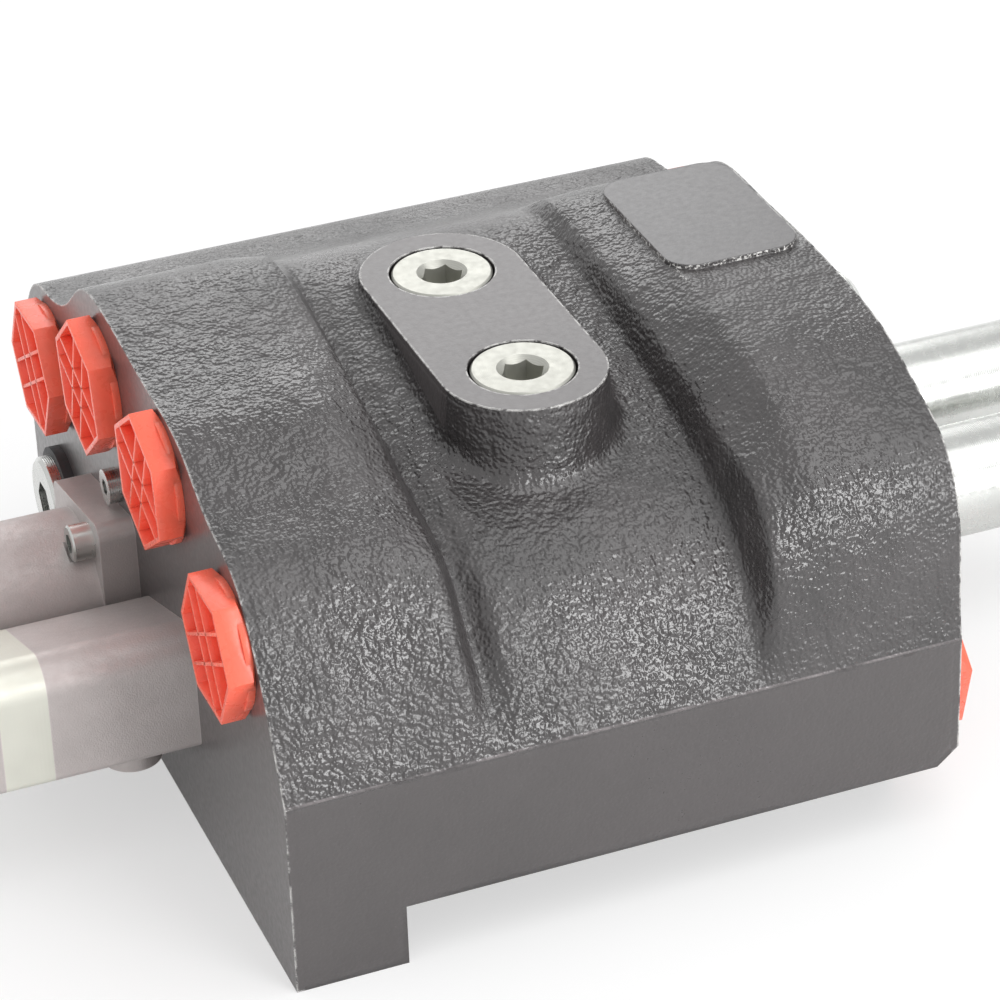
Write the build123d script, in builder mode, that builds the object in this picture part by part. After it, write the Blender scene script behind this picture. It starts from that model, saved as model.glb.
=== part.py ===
from build123d import *
from math import cos, radians, sin
import os

os.makedirs("parts", exist_ok=True)

# Frame: X runs along the spools, Y from the front to the rear, Z up.
# The origin lies on the mounting face, under the middle of the block.

# Block
block_length = 184.0
block_front = 110.5
block_rear = 109.5
strip_bottom = 17.5
strip_drop = 72.5
crown_wall = 23.5
waist_drop = 6.0
shelf_drop = 22.3

# Crown outlines, front to rear: distance from the front face, drop below the top
left_outline = [(5, 60), (18.5, 33.5), (30.5, 22), (49.5, 16.5), (67.5, 7), (91.5, 3.5), (128.5, 0), (151.5, 2.5)]
waist_outline = [(3, 60), (14, 40), (23.5, 30), (46.5, 20), (65.5, 15.5), (90.5, 10), (128.5, 3.2), (148.5, 1.8)]
right_outline = [(1.5, 61), (4.8, 33), (12.5, 21), (25.8, 13.7), (47, 5.5), (68.5, 2.4), (97, 1.2), (125.5, 1.6),
                 (151.5, 4)]
groove_outline = [(3, 61), (20, 40), (31, 29), (53, 22), (70, 17.5), (93.5, 12), (128.5, 4), (148.5, 1.5)]

# Soft shoulders between the waist and the crowns
left_shoulder_outline = [(4, 60), (16, 37), (27, 26.5), (49.5, 20), (68.5, 12.5), (92.5, 7), (128.5, 2), (150, 3.5)]
right_shoulder_outline = [(1.5, 61), (5.5, 34), (15, 23.5), (33, 19), (55, 14.5), (79.5, 9), (105, 5), (128, 3.6),
                          (150, 4.5)]

# Rear shelf: distance ahead of the rear face, drop below the shelf
shelf_outline = [(51.5, -7), (33.5, 0), (18.5, 3), (8.5, 12), (0, 25.7)]

# Left crown, groove, waist and right crown, along X
left_crown_end = -52.0
left_crown_foot = -62.0
left_shoulder = -41.0
groove_bottom = -36.0
waist_start = -29.5
waist_end = 36.5
right_shoulder = 40.5
right_crown_start = 54.0

# Boss over the load checks and the plain pad on the right crown
boss_rise = 0.5
boss_width = 44.0
check_pitch = 57.2
check_rear = 15.0
boss_draft = 5.0
boss_depth = 28.0
boss_blend = 5.0
pad_width = 38.0
pad_depth = 54.6
pad_corner = 8.0
pad_right_margin = 1.6
pad_rear = 34.6
pad_thickness = 5.0

# Underside: two feet with an arch between them
right_foot_start = 50.0
right_foot_end = 86.0
right_foot_setback = 27.5
arch_corner = 12.0
corner_chamfer = 5.0
foot_hole_radius = 4.25
foot_hole_depth = 16.0
foot_hole_spacing_x = 144.0
foot_hole_spacing_y = 150.0

# Spools
spool_count = 3
spool_pitch = 48.0
spool_front = -18.5
spool_height = 41.5
spool_radius = 10.0
spool_fit = 0.02
stroke = 7.0
neck_radius = 7.0
neck_width = 10.0
chamber_radius = 13.0
chamber_width = 12.0
work_chamber = 34.0
tank_chamber = 58.0
pressure_chamber_width = 34.0
gallery_radius = 7.0
gallery_drop = 18.0
cross_inset = 11.5
cross_radius = 5.0
bridge_inner_offset = 8.0
bridge_outer_offset = 15.0
bridge_radius = 3.0
seal_groove_inset = 20.0
seal_groove_radius = 12.6
seal_groove_width = 3.6
seal_slack = 0.1
shoulder_inset = 8.0
stem_radius = 6.0
stem_fit = 0.05
thread_slack = 0.05
end_gap = 1.0

# Ports and their transport plugs
port_radius = 13.2
port_depth = 22.0
port_inner_offset = 26.5
port_outer_offset = 77.0
port_gap = 4.7
port_inner_rise = 20.0
right_inner_rise = 10.0
inlet_front = -85.0
inlet_height = 34.5
passage_radius = 5.0
passage_rise = 6.0
plug_flats = 33.0
plug_head = 7.3
plug_flange_radius = 17.3
plug_flange = 2.0
plug_shank = 14.0
plug_shank_wall = 2.0
plug_rim = 1.2
plug_rib = 1.3
plug_rib_spacing = 7.5
plug_recess = 5.5

# Load checks
check_plug_radius = 13.5
check_plug_collar = 5.0
check_ring_gap = 0.7
check_thread_radius = 10.45
check_thread_length = 13.0
check_socket_flats = 10.0
check_socket_depth = 7.5
check_socket_flare = 6.8
check_flare_depth = 1.6
check_plug_chamfer = 0.5
check_seal_thickness = 1.6
check_bore_radius = 8.0
check_seat_drop = 38.5
check_seat_radius = 5.0
check_lift = 4.0
check_cup_floor = 4.0
check_pilot = 2.5
check_wire = 0.9
check_turns = 5
check_cup_wall = 2.0
running_fit = 0.04

# Relief cartridge
relief_front = -58.0
relief_height = 63.0
relief_thread_radius = 12.0
relief_thread_length = 18.0
relief_nose_radius = 9.0
relief_nose_length = 30.0
relief_hex_flats = 27.0
relief_hex_length = 9.0
relief_bore_radius = 5.5
relief_seat_radius = 3.0
relief_nose_wall = 3.0
relief_poppet_length = 12.0
relief_stem = 6.0
relief_wire = 1.3
relief_turns = 7
relief_adjuster_grip = 14.0
relief_adjuster_length = 22.0
relief_nut_flats = 17.0
relief_nut_length = 5.0

# Left end: front actuator
housing_width = 45.0
housing_height = 37.0
housing_lean = 8.0
housing_top_corner = 8.0
housing_bottom_corner = 2.0
housing_length = 39.3
housing_wall = 6.0
plate_thickness = 13.0
cover_length = 22.0
cover_cavity_radius = 12.0
cover_cavity_depth = 16.0
front_piston_radius = 14.0
middle_piston_radius = 17.0
piston_thickness = 12.0
front_piston_clearance = 5.0
middle_piston_clearance = 9.0
pilot_rod_reach = 6.0
piston_nut_flats = 19.0
piston_nut_length = 6.0
long_screw_offset_y = 15.0
long_screw_offset_z = 17.0
port_boss_radius = 8.0
port_boss_rise = 5.5
port_boss_inset = 13.0
air_port_radius = 4.3

# Left end: middle actuator
barrel_radius = 22.5
barrel_length = 50.0
barrel_port_inset = 16.5
middle_cover_thickness = 8.0
middle_cover_spigot = 2.0
middle_cover_chamfer = 2.0
spigot_slack = 0.05
flange_width = 45.0
flange_height = 53.5
flange_lean = 4.5
flange_corner = 4.0
flange_thickness = 10.0
flange_screw_offset_y = 13.5
flange_screw_offset_z = 23.0
flange_screw_pocket = 0.5

# Left end: rear bore plug and gauge plug
rear_plug_radius = 12.6
rear_plug_height = 4.0
rear_ring_radius = 14.8
rear_ring_thickness = 3.0
rear_plug_thread_radius = 11.0
rear_plug_thread_length = 12.0
rear_plug_socket_flats = 10.0
rear_plug_socket_depth = 8.0
gauge_plug_y = 21.5
gauge_plug_gap = 3.25
gauge_plug_radius = 4.8
gauge_plug_height = 3.5
gauge_thread_radius = 3.5
gauge_thread_length = 9.0
gauge_socket_flats = 4.0
gauge_socket_depth = 4.0

# Right end: spring caps
cap_radius = 15.75
cap_bore_radius = 12.6
cap_flange = 42.0
cap_flange_thickness = 8.0
cap_flange_corner = 6.0
cap_collar_length = 37.0
long_cap_length = 94.0
short_cap_length = 60.0
cap_end_wall = 12.0
cap_end_chamfer = 2.0
cap_screw_offset = 15.0
cap_spigot = 6.0
cap_spigot_wall = 1.2
washer_radius = 12.0
washer_thickness = 3.0
washer_gap = 0.1
washer_bore_slack = 0.4
washer_lip_radius = 8.6
washer_lip = 2.0
spring_wire = 2.0
spring_radius = 10.2
spring_pitch = 8.0
bolt_head_radius = 7.5
bolt_head_length = 6.0
bolt_shank_radius = 3.0
bolt_shank_length = 12.0
head_clearance = 3.0

# Socket-head cap screws, M6
m6_radius = 3.0
m6_head_radius = 5.0
m6_head_length = 6.0
m6_chamfer = 0.5
m6_socket_flats = 5.0
m6_socket_depth = 3.0
m6_clearance = 0.4
m6_engagement = 12.0
m6_tap_depth = 15.0

half_length = block_length / 2
port_outer_height = spool_height + cap_flange / 2 + plug_flange_radius + port_gap
port_inner_height = port_outer_height + port_inner_rise
right_inner_height = port_outer_height + right_inner_rise
gauge_plug_z = spool_height + flange_height / 2 + flange_lean + gauge_plug_gap
crown_height = port_inner_height + crown_wall
strip_top = crown_height - strip_drop
waist_height = crown_height - waist_drop
shelf_height = crown_height - shelf_drop
boss_height = waist_height + boss_rise
check_seat_height = boss_height - check_seat_drop
relief_nose_x = half_length - relief_thread_length - relief_nose_length
spool_ys = [spool_front + spool_pitch * k for k in range(spool_count)]
middle_y = spool_ys[1]
rear_y = spool_ys[-1]
check_ys = [check_rear, check_rear - check_pitch]
bore_radius = spool_radius + spool_fit
left_ports = {
    "t": (-port_outer_offset, port_outer_height),
    "a1": (-port_inner_offset, port_inner_height),
    "a2": (port_inner_offset, port_inner_height),
    "a3": (port_outer_offset, port_outer_height),
}
right_ports = {
    "p": (inlet_front, inlet_height),
    "b1": (-port_inner_offset, right_inner_height),
    "b2": (port_inner_offset, right_inner_height),
    "b3": (port_outer_offset, port_outer_height),
}
plug_turns = {"t": 59.8, "a1": 23.7, "a2": 18.8, "a3": 58.0, "p": 44.0, "b1": 10.0, "b2": 37.0, "b3": 21.0}
cap_lengths = [long_cap_length, long_cap_length, short_cap_length]
flange_screws = [(-flange_screw_offset_y, flange_screw_offset_z), (flange_screw_offset_y, -flange_screw_offset_z)]
long_screws = [(-long_screw_offset_y, long_screw_offset_z), (long_screw_offset_y, -long_screw_offset_z)]
cap_screws = [(cap_screw_offset, cap_screw_offset), (-cap_screw_offset, -cap_screw_offset)]


def save(part, name):
    """Name a finished piece and write it as a STEP file."""
    part.label = name
    export_step(part, f"parts/{name}.step")


def along_x(y, z):
    """Plane that holds a turned outline of (x, radius) points about a line parallel to X."""
    return Plane(origin=(0, y, z), x_dir=(1, 0, 0), z_dir=(0, -1, 0))


def upright(x, y):
    """Plane that holds a turned outline of (radius, height) points about a vertical line."""
    return Plane(origin=(x, y, 0), x_dir=(1, 0, 0), z_dir=(0, -1, 0))


def turned(y, z, outline):
    """Solid turned about a line parallel to X."""
    with BuildPart() as blank:
        with BuildSketch(along_x(y, z)):
            with BuildLine():
                Polyline(*outline, close=True)
            make_face()
        revolve(axis=Axis((0, y, z), (1, 0, 0)))
    return blank.part


def turned_upright(x, y, outline):
    """Solid turned about a vertical line."""
    with BuildPart() as blank:
        with BuildSketch(upright(x, y)):
            with BuildLine():
                Polyline(*outline, close=True)
            make_face()
        revolve(axis=Axis((x, y, 0), (0, 0, 1)))
    return blank.part


def coil(start, direction, length, radius, wire, turns):
    """Helical spring whose outer coils end just inside its length."""
    free = length - wire
    with BuildPart() as spring:
        with BuildLine() as path:
            Helix(free / turns, free, radius, center=start + direction * (wire / 2), direction=direction)
        with BuildSketch(Plane(origin=path.line @ 0, z_dir=path.line % 0)):
            Circle(wire / 2)
        sweep(is_frenet=True)
    return spring.part


def cap_screw(seat, direction, length):
    """M6 socket-head cap screw whose head stands on seat and whose shank runs along direction."""
    with BuildPart() as screw:
        with BuildSketch(Plane(origin=seat, z_dir=direction)):
            Circle(m6_radius)
        extrude(amount=length)
        with BuildSketch(Plane(origin=seat, z_dir=-direction)):
            Circle(m6_head_radius)
        extrude(amount=m6_head_length)
        rims = screw.edges().filter_by(GeomType.CIRCLE).sort_by(Axis(seat, -direction))
        chamfer(rims[-1], m6_chamfer)
        with BuildSketch(Plane(origin=seat - direction * m6_head_length, z_dir=direction)):
            RegularPolygon(m6_socket_flats / 2, 6, major_radius=False)
        extrude(amount=m6_socket_depth, mode=Mode.SUBTRACT)
    return screw.part


def crown_line(outline, height):
    """Points of the casting's top line, from the front strip to the rear face."""
    front = [(-block_front + back, height - drop) for back, drop in outline]
    rear = [(block_rear - ahead, shelf_height - drop) for ahead, drop in shelf_outline]
    return [(-block_front, strip_top)] + front + rear


# Valve body: two crowned stretches of casting with a grooved waist between them, bored and drilled
stations = [
    (-half_length, left_outline, crown_height),
    (left_crown_end, left_outline, crown_height),
    (left_shoulder, left_shoulder_outline, crown_height),
    (groove_bottom, groove_outline, waist_height),
    (waist_start, waist_outline, waist_height),
    (waist_end, waist_outline, waist_height),
    (right_shoulder, right_shoulder_outline, crown_height),
    (right_crown_start, right_outline, crown_height),
    (half_length, right_outline, crown_height),
]
gallery_height = check_seat_height - gallery_drop
check_collar_base = boss_height - check_plug_collar
check_seal_base = check_collar_base - check_seal_thickness
check_thread_base = check_collar_base - check_thread_length
with BuildPart() as valve_body:
    for x, outline, height in stations:
        with BuildSketch(Plane.YZ.offset(x)):
            with BuildLine():
                top = Spline(*crown_line(outline, height))
                Polyline(top @ 1, (block_rear, 0), (-block_front, 0), top @ 0)
            make_face()
    loft(ruled=True)
    # boss over the two load checks, drafted outwards and blended into the casting
    boss_middle = sum(check_ys) / len(check_ys)
    with BuildSketch(Plane.XY.offset(boss_height)):
        with Locations((0, boss_middle)):
            SlotCenterToCenter(check_pitch, boss_width, rotation=90)
    extrude(amount=-boss_depth, taper=-boss_draft)
    fillet(valve_body.edges(Select.NEW), boss_blend)
    # plain pad on the right crown
    with BuildSketch(Plane.XY.offset(crown_height)):
        with Locations((half_length - pad_right_margin - pad_width / 2, pad_rear - pad_depth / 2)):
            RectangleRounded(pad_width, pad_depth, pad_corner)
    extrude(amount=-pad_thickness)
    # arch between the feet, run out behind the front strip on the right foot
    with BuildSketch(Plane.XZ.offset(-block_rear)):
        with BuildLine():
            Polyline((left_crown_foot, 0), (left_crown_foot, strip_bottom), (right_foot_start, strip_bottom),
                     (right_foot_start, 0), close=True)
        face = make_face()
        fillet(face.vertices().group_by(Axis.Y)[-1], arch_corner)
    extrude(amount=block_front + block_rear, mode=Mode.SUBTRACT)
    with BuildSketch(Plane.YZ.offset(left_crown_foot)):
        with BuildLine():
            Polyline((-block_front, strip_bottom), (-block_front, 0), (right_foot_setback - block_front, 0),
                     close=True)
        make_face()
    extrude(amount=half_length - left_crown_foot, mode=Mode.SUBTRACT)
    with BuildSketch(Plane.XZ.offset(-block_rear)):
        with BuildLine():
            Polyline((right_foot_end, 0), (right_foot_end, strip_bottom), (half_length, strip_bottom + corner_chamfer),
                     (half_length, 0), close=True)
        make_face()
    extrude(amount=block_front + block_rear, mode=Mode.SUBTRACT)
    # spool bores, their chambers and seal grooves
    with BuildSketch(Plane.YZ.offset(-half_length)):
        with Locations(*[(y, spool_height) for y in spool_ys]):
            Circle(bore_radius)
    extrude(amount=block_length, mode=Mode.SUBTRACT)
    for x in (-tank_chamber, -work_chamber, work_chamber, tank_chamber):
        with BuildSketch(Plane.YZ.offset(x - chamber_width / 2)):
            with Locations(*[(y, spool_height) for y in spool_ys]):
                Circle(chamber_radius)
        extrude(amount=chamber_width, mode=Mode.SUBTRACT)
    with BuildSketch(Plane.YZ.offset(-pressure_chamber_width / 2)):
        with Locations(*[(y, spool_height) for y in spool_ys]):
            Circle(chamber_radius)
    extrude(amount=pressure_chamber_width, mode=Mode.SUBTRACT)
    for x in (seal_groove_inset - half_length, half_length - seal_groove_inset - seal_groove_width):
        with BuildSketch(Plane.YZ.offset(x)):
            with Locations(*[(y, spool_height) for y in spool_ys]):
                Circle(seal_groove_radius)
        extrude(amount=seal_groove_width, mode=Mode.SUBTRACT)
    # port bores in both end faces
    with BuildSketch(Plane.YZ.offset(-half_length)):
        with Locations(*left_ports.values()):
            Circle(port_radius)
    extrude(amount=port_depth, mode=Mode.SUBTRACT)
    with BuildSketch(Plane.YZ.offset(half_length)):
        with Locations(*right_ports.values()):
            Circle(port_radius)
    extrude(amount=-port_depth, mode=Mode.SUBTRACT)
    # load-check bores
    for y in check_ys:
        for top_z, base_z, radius in [
            (boss_height, check_seal_base, check_plug_radius + check_ring_gap),
            (check_seal_base, check_thread_base, check_thread_radius + thread_slack),
            (check_thread_base, check_seat_height, check_bore_radius),
            (check_seat_height, gallery_height, check_seat_radius),
        ]:
            with BuildSketch(Plane.XY.offset(top_z)):
                with Locations((0, y)):
                    Circle(radius)
            extrude(amount=base_z - top_z, mode=Mode.SUBTRACT)
    # cored and drilled passages, each from one point to another
    port_floor = half_length - port_depth
    cross_y = block_rear - cross_inset
    passages = [
        ((0, inlet_front + port_radius, gallery_height), (0, check_rear, gallery_height), gallery_radius),
        ((port_floor, inlet_front, inlet_height), (0, inlet_front + port_radius, gallery_height), passage_radius),
        ((relief_nose_x, relief_front, relief_height), (0, relief_front, gallery_height), relief_seat_radius),
        ((-tank_chamber, -port_outer_offset, spool_height), (-tank_chamber, cross_y, spool_height), gallery_radius),
        ((tank_chamber, relief_front, spool_height), (tank_chamber, cross_y, spool_height), gallery_radius),
        ((-tank_chamber, cross_y, spool_height), (tank_chamber, cross_y, spool_height), cross_radius),
        ((-port_floor, -port_outer_offset, port_outer_height), (-tank_chamber, -port_outer_offset, spool_height),
         passage_radius),
        ((tank_chamber, relief_front, relief_height), (tank_chamber, relief_front, spool_height), relief_seat_radius),
    ]
    for names, ports, side in ((("a1", "a2", "a3"), left_ports, -1), (("b1", "b2", "b3"), right_ports, 1)):
        for port, y in zip(names, spool_ys):
            port_y, port_z = ports[port]
            start = (side * port_floor, port_y, port_z + passage_rise)
            passages.append((start, (side * work_chamber, y, spool_height), passage_radius))
    for y, spool_y in zip(check_ys, (middle_y, spool_ys[0])):
        start = (bridge_inner_offset, y, check_seat_height + bridge_radius)
        end = (bridge_outer_offset, spool_y, spool_height + bore_radius - bridge_radius)
        passages.append((start, end, bridge_radius))
    for start, end, radius in passages:
        run = Vector(end) - Vector(start)
        with BuildSketch(Plane(origin=start, z_dir=run)):
            Circle(radius)
        extrude(amount=run.length, mode=Mode.SUBTRACT)
    # relief cartridge bore
    with BuildSketch(Plane.YZ.offset(half_length)):
        with Locations((relief_front, relief_height)):
            Circle(relief_thread_radius + thread_slack)
    extrude(amount=-relief_thread_length, mode=Mode.SUBTRACT)
    with BuildSketch(Plane.YZ.offset(half_length)):
        with Locations((relief_front, relief_height)):
            Circle(relief_nose_radius + thread_slack)
    extrude(amount=-relief_thread_length - relief_nose_length, mode=Mode.SUBTRACT)
    # threaded bores for the rear bore plug and the gauge plug
    with BuildSketch(Plane.YZ.offset(-half_length)):
        with Locations((rear_y, spool_height)):
            Circle(rear_plug_thread_radius + thread_slack)
    extrude(amount=rear_plug_thread_length, mode=Mode.SUBTRACT)
    with BuildSketch(Plane.YZ.offset(-half_length)):
        with Locations((gauge_plug_y, gauge_plug_z)):
            Circle(gauge_thread_radius + thread_slack)
    extrude(amount=gauge_thread_length + 1, mode=Mode.SUBTRACT)
    # tapped holes for cap screws
    left_taps = [(spool_ys[0] + y, spool_height + z) for y, z in long_screws]
    left_taps += [(middle_y + y, spool_height + z) for y, z in flange_screws]
    with BuildSketch(Plane.YZ.offset(-half_length)):
        with Locations(*left_taps):
            Circle(m6_radius + thread_slack)
    extrude(amount=m6_tap_depth, mode=Mode.SUBTRACT)
    with BuildSketch(Plane.YZ.offset(half_length)):
        with Locations(*[(spool_y + y, spool_height + z) for spool_y in spool_ys for y, z in cap_screws]):
            Circle(m6_radius + thread_slack)
    extrude(amount=-m6_tap_depth, mode=Mode.SUBTRACT)
    # tapped mounting holes in the feet
    with BuildSketch(Plane.XY):
        with GridLocations(foot_hole_spacing_x, foot_hole_spacing_y, 2, 2):
            Circle(foot_hole_radius)
    extrude(amount=foot_hole_depth, mode=Mode.SUBTRACT)
save(valve_body.part, "valve_body")

# Spools: lands and necks, a long stem at each end that has a cap or an actuator
neck_edges = []
for x in (-tank_chamber, -work_chamber, 0, work_chamber, tank_chamber):
    neck_edges += [(x - neck_width / 2, spool_radius), (x - neck_width / 2, neck_radius),
                   (x + neck_width / 2, neck_radius), (x + neck_width / 2, spool_radius)]
shoulder = half_length - shoulder_inset
piston_fronts = [-half_length - housing_wall - stroke - clearance
                 for clearance in (front_piston_clearance, middle_piston_clearance)]
nut_ends = [front - piston_thickness - piston_nut_length for front in piston_fronts]
pilot_rod_end = -half_length - housing_length - plate_thickness - pilot_rod_reach
left_ends = [pilot_rod_end, nut_ends[1], -half_length + rear_plug_thread_length + stroke + end_gap]
stem_ends = [half_length + length - cap_end_wall - head_clearance - stroke - bolt_head_length - washer_thickness
             for length in cap_lengths]
bolt_hole = [bolt_shank_length + end_gap, bolt_shank_radius + thread_slack]
for k, (left_end, stem_end) in enumerate(zip(left_ends, stem_ends)):
    if left_end < -half_length:
        left_side = [(left_end, 0), (left_end, stem_radius), (-shoulder, stem_radius), (-shoulder, spool_radius)]
    else:
        left_side = [(left_end, 0), (left_end, spool_radius)]
    right_side = [(shoulder, spool_radius), (shoulder, stem_radius), (stem_end, stem_radius),
                  (stem_end, bolt_hole[1]), (stem_end - bolt_hole[0], bolt_hole[1]), (stem_end - bolt_hole[0], 0)]
    save(turned(spool_ys[k], spool_height, left_side + neck_edges + right_side), f"spool_{k + 1}")

# Spool seals, seated in their grooves
seal_inner = spool_radius + seal_slack
seal_outer = seal_groove_radius - seal_slack
seal_places = [(y, -half_length + seal_groove_inset) for y in spool_ys[:-1]]
seal_places += [(y, half_length - seal_groove_inset - seal_groove_width) for y in spool_ys]
with BuildPart() as spool_seals:
    for y, x in seal_places:
        with BuildSketch(Plane.YZ.offset(x + seal_slack)):
            with Locations((y, spool_height)):
                Circle(seal_outer)
                Circle(seal_inner, mode=Mode.SUBTRACT)
        extrude(amount=seal_groove_width - 2 * seal_slack)
save(spool_seals.part, "spool_seals")

# Load checks: flush screw plugs, seal rings, poppets and springs
with BuildPart() as check_plugs:
    for y in check_ys:
        with BuildSketch(Plane.XY.offset(boss_height)):
            with Locations((0, y)):
                Circle(check_plug_radius)
        extrude(amount=-check_plug_collar)
        with BuildSketch(Plane.XY.offset(check_collar_base)):
            with Locations((0, y)):
                Circle(check_thread_radius)
        extrude(amount=-check_thread_length)
    chamfer(check_plugs.edges().group_by(Axis.Z)[-1], check_plug_chamfer)
    for y in check_ys:
        with Locations((0, y, boss_height)):
            Cone(check_socket_flats / 2, check_socket_flare, check_flare_depth,
                 align=(Align.CENTER, Align.CENTER, Align.MAX), mode=Mode.SUBTRACT)
        with BuildSketch(Plane.XY.offset(boss_height)):
            with Locations((0, y)):
                RegularPolygon(check_socket_flats / 2, 6, major_radius=False)
        extrude(amount=-check_socket_depth, mode=Mode.SUBTRACT)
save(check_plugs.part, "load_check_plugs")

with BuildPart() as check_seals:
    with BuildSketch(Plane.XY.offset(check_seal_base)):
        with Locations(*[(0, y) for y in check_ys]):
            Circle(check_plug_radius - seal_slack)
            Circle(check_thread_radius + seal_slack, mode=Mode.SUBTRACT)
    extrude(amount=check_seal_thickness)
save(check_seals.part, "load_check_seals")

cup_floor = check_seat_height + check_cup_floor
cup_top = check_thread_base - check_lift - end_gap
cup_outer = check_bore_radius - running_fit
cup_inner = cup_outer - check_cup_wall
pilot_base = check_seat_height - check_pilot
pilot_outer = check_seat_radius - 2 * running_fit
for k, y in enumerate(check_ys):
    cup = turned_upright(0, y, [
        (0, pilot_base), (pilot_outer - 1, pilot_base), (pilot_outer, check_seat_height),
        (cup_outer, check_seat_height), (cup_outer, cup_top), (cup_inner, cup_top), (cup_inner, cup_floor),
        (0, cup_floor)])
    save(cup, f"load_check_poppet_{k + 1}")
    spring = coil(Vector(0, y, cup_floor), Vector(0, 0, 1), check_thread_base - cup_floor,
                  cup_inner - check_wire, check_wire, check_turns)
    save(spring, f"load_check_spring_{k + 1}")

# Relief cartridge in the right end face
relief_face = half_length + relief_hex_length
with BuildPart() as relief_cartridge:
    with BuildSketch(Plane.YZ.offset(half_length)):
        with Locations((relief_front, relief_height)):
            RegularPolygon(relief_hex_flats / 2, 6, major_radius=False)
    extrude(amount=relief_hex_length)
    with BuildSketch(Plane.YZ.offset(half_length)):
        with Locations((relief_front, relief_height)):
            Circle(relief_thread_radius)
    extrude(amount=-relief_thread_length)
    with BuildSketch(Plane.YZ.offset(relief_nose_x)):
        with Locations((relief_front, relief_height)):
            Circle(relief_nose_radius)
    extrude(amount=relief_nose_length)
    with BuildSketch(Plane.YZ.offset(relief_nose_x)):
        with Locations((relief_front, relief_height)):
            Circle(relief_seat_radius)
    extrude(amount=relief_nose_wall, mode=Mode.SUBTRACT)
    with BuildSketch(Plane.YZ.offset(relief_nose_x + relief_nose_wall)):
        with Locations((relief_front, relief_height)):
            Circle(relief_bore_radius)
    extrude(amount=relief_face - relief_nose_x - relief_nose_wall, mode=Mode.SUBTRACT)
save(relief_cartridge.part, "relief_cartridge")

relief_seat_x = relief_nose_x + relief_nose_wall
relief_body_radius = relief_bore_radius - running_fit
relief_back_x = relief_seat_x + relief_poppet_length
save(turned(relief_front, relief_height, [
    (relief_seat_x - 2, 0), (relief_seat_x, relief_seat_radius - 2 * running_fit), (relief_seat_x, relief_body_radius),
    (relief_back_x, relief_body_radius), (relief_back_x, relief_seat_radius),
    (relief_back_x + relief_stem, relief_seat_radius), (relief_back_x + relief_stem, 0)]), "relief_poppet")
adjuster_inner = relief_face - relief_adjuster_grip
save(coil(Vector(relief_back_x, relief_front, relief_height), Vector(1, 0, 0), adjuster_inner - relief_back_x,
          relief_bore_radius - 1.2, relief_wire, relief_turns), "relief_spring")
with BuildPart() as relief_adjuster:
    with BuildSketch(Plane.YZ.offset(adjuster_inner)):
        with Locations((relief_front, relief_height)):
            Circle(relief_bore_radius - thread_slack)
    extrude(amount=relief_adjuster_length)
    with BuildSketch(Plane.YZ.offset(adjuster_inner + relief_adjuster_length)):
        with Locations((relief_front, relief_height)):
            RegularPolygon(m6_socket_flats / 2, 6, major_radius=False)
    extrude(amount=-m6_socket_depth, mode=Mode.SUBTRACT)
save(relief_adjuster.part, "relief_adjuster")
with BuildPart() as relief_lock_nut:
    with BuildSketch(Plane.YZ.offset(relief_face)):
        with Locations((relief_front, relief_height)):
            RegularPolygon(relief_nut_flats / 2, 6, major_radius=False)
            Circle(relief_bore_radius, mode=Mode.SUBTRACT)
    extrude(amount=relief_nut_length)
save(relief_lock_nut.part, "relief_lock_nut")


def port_plug(face_x, side, y, z, turn):
    """Moulded plug: ribbed hexagon head on an end face and a hollow threaded shank in the port."""
    outward = Plane(origin=(face_x, y, z), x_dir=(0, cos(radians(turn)), sin(radians(turn))), z_dir=(side, 0, 0))
    rim_flats = plug_flats / 2 - plug_rim
    with BuildPart() as plug:
        with BuildSketch(outward):
            RegularPolygon(plug_flats / 2, 6, major_radius=False)
        extrude(amount=plug_head)
        with BuildSketch(outward.offset(plug_head)):
            RegularPolygon(rim_flats, 6, major_radius=False)
            with Locations((0, plug_rib_spacing / 2), (0, -plug_rib_spacing / 2)):
                Rectangle(2 * plug_flats, plug_rib, mode=Mode.SUBTRACT)
            with Locations((plug_rib_spacing / 2, 0), (-plug_rib_spacing / 2, 0)):
                Rectangle(plug_rib, 2 * plug_flats, mode=Mode.SUBTRACT)
        extrude(amount=-plug_recess, mode=Mode.SUBTRACT)
        with BuildSketch(outward):
            Circle(plug_flange_radius)
        extrude(amount=plug_flange)
        with BuildSketch(outward):
            Circle(port_radius - thread_slack)
            Circle(port_radius - thread_slack - plug_shank_wall, mode=Mode.SUBTRACT)
        extrude(amount=-plug_shank)
    return plug.part


for ports, side in ((left_ports, -1), (right_ports, 1)):
    for port, (y, z) in ports.items():
        save(port_plug(side * half_length, side, y, z, plug_turns[port]), f"port_plug_{port}")


# Front actuator: housing, zinc spacer plate, end cover, piston, nut and long screws
def leaning_section(plane, width, height, lean, top_corner, bottom_corner):
    """Section whose top and bottom fall towards the rear, by lean on each side of its middle."""
    side, half = width / 2, height / 2
    with BuildSketch(plane, mode=Mode.PRIVATE) as section:
        with BuildLine():
            Polyline((-side, half + lean), (side, half - lean), (side, -half - lean), (-side, lean - half), close=True)
        make_face()
        fillet(section.vertices().sort_by(Axis.Y)[:2], bottom_corner)
        fillet(section.vertices().sort_by(Axis.Y)[-2:], top_corner)
    return section.sketch


def housing_section(x):
    """Section shared by the front housing, its spacer plate and its end cover."""
    return leaning_section(spool_plane(x, spool_ys[0]), housing_width, housing_height, housing_lean,
                           housing_top_corner, housing_bottom_corner)


def screw_sketch(plane, places, radius):
    """Circles of one radius at the given places."""
    with BuildSketch(plane, mode=Mode.PRIVATE) as circles:
        with Locations(*places):
            Circle(radius)
    return circles.sketch


def spool_plane(x, y):
    """Plane across a spool, looking along X, centred on its axis."""
    return Plane(origin=(x, y, spool_height), x_dir=(0, 1, 0), z_dir=(1, 0, 0))


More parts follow.
